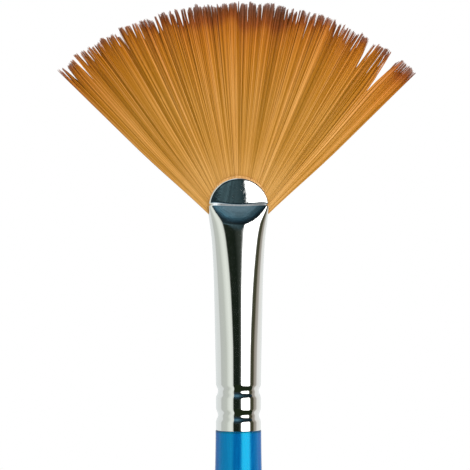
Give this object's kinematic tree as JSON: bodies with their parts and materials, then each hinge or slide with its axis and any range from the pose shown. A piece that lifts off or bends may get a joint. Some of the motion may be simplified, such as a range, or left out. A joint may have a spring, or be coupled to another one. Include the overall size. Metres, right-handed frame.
{
  "type": "fan paint brush",
  "caption": "Fan paint brush: a flat fan of soft filaments in a pinched, round-mouthed metal ferrule that is crimped on a slim lacquered wooden handle.",
  "frame": {"origin": "centre of the handle's rounded tail end, on the brush's axis", "axes": "+Z along the brush from the tail to the hair, +X across the width of the fan, +Y through the fan's thickness"},
  "size_m": [0.0512, 0.008, 0.2174],
  "materials": {
    "handle_wood": "turned and sanded birch",
    "blue_lacquer": "glossy pearlescent blue lacquer",
    "glue": "cured adhesive film",
    "nickel_plate": "polished nickel plate on brass",
    "cotton_thread": "waxed cotton thread",
    "epoxy_resin": "clear amber resin",
    "filament": "tapered golden synthetic filament",
    "filament_tips": "tapered golden synthetic filament with reddish brown tips"
  },
  "bodies": {
    "brush": {"handle_core": "handle_wood", "lacquer_coat": "blue_lacquer", "handle_glue": "glue", "ferrule": "nickel_plate", "tie_thread": "cotton_thread", "resin_plug": "epoxy_resin", "filament_roots": "filament"},
    "tuft_01": {"tuft_01": "filament_tips"},
    "tuft_02": {"tuft_02": "filament_tips"},
    "tuft_03": {"tuft_03": "filament_tips"},
    "tuft_04": {"tuft_04": "filament_tips"},
    "tuft_05": {"tuft_05": "filament_tips"},
    "tuft_06": {"tuft_06": "filament_tips"},
    "tuft_07": {"tuft_07": "filament_tips"},
    "tuft_08": {"tuft_08": "filament_tips"},
    "tuft_09": {"tuft_09": "filament_tips"},
    "tuft_10": {"tuft_10": "filament_tips"},
    "tuft_11": {"tuft_11": "filament_tips"},
    "tuft_12": {"tuft_12": "filament_tips"},
    "tuft_13": {"tuft_13": "filament_tips"},
    "tuft_14": {"tuft_14": "filament_tips"},
    "tuft_15": {"tuft_15": "filament_tips"}
  },
  "joints": [
    {"name": "tuft_01_flex", "type": "hinge", "parent": "brush", "child": "tuft_01", "pos_m": [-0.00488, 0, 0.18792], "axis": [0.7302, 0, 0.6833], "range_deg": [-35, 35], "stiffness_Nm_per_rad": 0.00016},
    {"name": "tuft_02_flex", "type": "hinge", "parent": "brush", "child": "tuft_02", "pos_m": [-0.00482, 0, 0.18897], "axis": [0.7926, 0, 0.6097], "range_deg": [-35, 35], "stiffness_Nm_per_rad": 0.00025},
    {"name": "tuft_03_flex", "type": "hinge", "parent": "brush", "child": "tuft_03", "pos_m": [-0.00446, 0, 0.19004], "axis": [0.8544, 0, 0.5196], "range_deg": [-35, 35], "stiffness_Nm_per_rad": 0.00025},
    {"name": "tuft_04_flex", "type": "hinge", "parent": "brush", "child": "tuft_04", "pos_m": [-0.00389, 0, 0.19102], "axis": [0.906, 0, 0.4233], "range_deg": [-35, 35], "stiffness_Nm_per_rad": 0.00025},
    {"name": "tuft_05_flex", "type": "hinge", "parent": "brush", "child": "tuft_05", "pos_m": [-0.00311, 0, 0.19185], "axis": [0.9467, 0, 0.322], "range_deg": [-35, 35], "stiffness_Nm_per_rad": 0.00025},
    {"name": "tuft_06_flex", "type": "hinge", "parent": "brush", "child": "tuft_06", "pos_m": [-0.00217, 0, 0.19247], "axis": [0.9762, 0, 0.2168], "range_deg": [-35, 35], "stiffness_Nm_per_rad": 0.00025},
    {"name": "tuft_07_flex", "type": "hinge", "parent": "brush", "child": "tuft_07", "pos_m": [-0.00111, 0, 0.19285], "axis": [0.994, 0, 0.1091], "range_deg": [-35, 35], "stiffness_Nm_per_rad": 0.00025},
    {"name": "tuft_08_flex", "type": "hinge", "parent": "brush", "child": "tuft_08", "pos_m": [0, 0, 0.19295], "axis": [1, 0, 0], "range_deg": [-35, 35], "stiffness_Nm_per_rad": 0.00025},
    {"name": "tuft_09_flex", "type": "hinge", "parent": "brush", "child": "tuft_09", "pos_m": [0.00111, 0, 0.19285], "axis": [0.994, 0, -0.1091], "range_deg": [-35, 35], "stiffness_Nm_per_rad": 0.00025},
    {"name": "tuft_10_flex", "type": "hinge", "parent": "brush", "child": "tuft_10", "pos_m": [0.00217, 0, 0.19247], "axis": [0.9762, 0, -0.2168], "range_deg": [-35, 35], "stiffness_Nm_per_rad": 0.00025},
    {"name": "tuft_11_flex", "type": "hinge", "parent": "brush", "child": "tuft_11", "pos_m": [0.00311, 0, 0.19185], "axis": [0.9467, 0, -0.322], "range_deg": [-35, 35], "stiffness_Nm_per_rad": 0.00025},
    {"name": "tuft_12_flex", "type": "hinge", "parent": "brush", "child": "tuft_12", "pos_m": [0.00389, 0, 0.19102], "axis": [0.906, 0, -0.4233], "range_deg": [-35, 35], "stiffness_Nm_per_rad": 0.00025},
    {"name": "tuft_13_flex", "type": "hinge", "parent": "brush", "child": "tuft_13", "pos_m": [0.00446, 0, 0.19004], "axis": [0.8544, 0, -0.5196], "range_deg": [-35, 35], "stiffness_Nm_per_rad": 0.00025},
    {"name": "tuft_14_flex", "type": "hinge", "parent": "brush", "child": "tuft_14", "pos_m": [0.00482, 0, 0.18897], "axis": [0.7926, 0, -0.6097], "range_deg": [-35, 35], "stiffness_Nm_per_rad": 0.00025},
    {"name": "tuft_15_flex", "type": "hinge", "parent": "brush", "child": "tuft_15", "pos_m": [0.00488, 0, 0.18792], "axis": [0.7302, 0, -0.6833], "range_deg": [-35, 35], "stiffness_Nm_per_rad": 0.00016}
  ]
}
